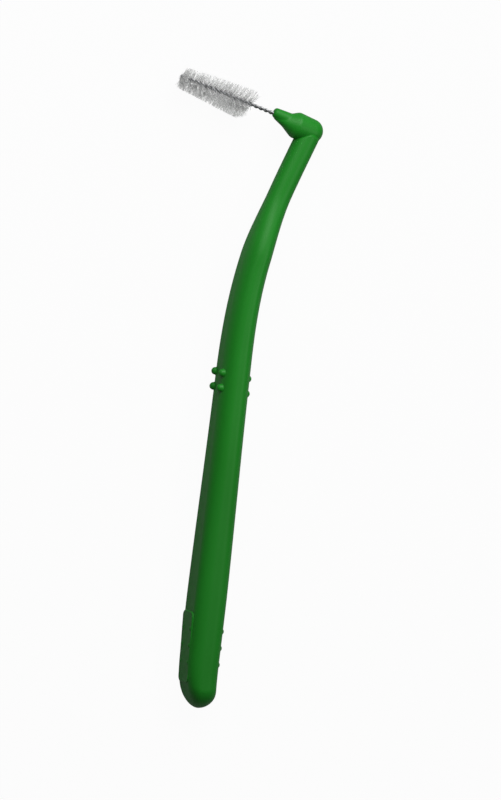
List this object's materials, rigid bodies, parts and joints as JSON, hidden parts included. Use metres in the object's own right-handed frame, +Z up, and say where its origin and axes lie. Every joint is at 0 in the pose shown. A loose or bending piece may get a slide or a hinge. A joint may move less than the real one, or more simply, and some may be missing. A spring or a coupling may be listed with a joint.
{
  "type": "interdental brush",
  "caption": "Angled interdental brush: a long slim green plastic handle with a bent neck, a small head across its end, and a tapered nylon bristle round on a twisted steel wire.",
  "frame": {"origin": "the middle of the whole object's box in X and Y, on the plane that the side of the grip rests on", "axes": "+Y runs along the grip from its rounded end towards the head; -X is the front, the side that the brush points to, and +X the back; +Z is up, across the grip's width, as the object lies on its side"},
  "size_m": [0.033, 0.1328, 0.009],
  "materials": {
    "handle": "satin moulded polypropylene, deep green",
    "head": "satin moulded polypropylene, deep green",
    "wire": "drawn stainless steel wire, twisted",
    "bristles": "fine translucent white nylon filament"
  },
  "bodies": {
    "root": {"handle": "handle", "brush_head": "head", "core_wire": "wire", "filament_turn_1": "bristles", "filament_turn_2": "bristles", "filament_turn_3": "bristles", "filament_turn_4": "bristles", "filament_turn_5": "bristles", "filament_turn_6": "bristles", "filament_turn_7": "bristles"}
  },
  "joints": []
}
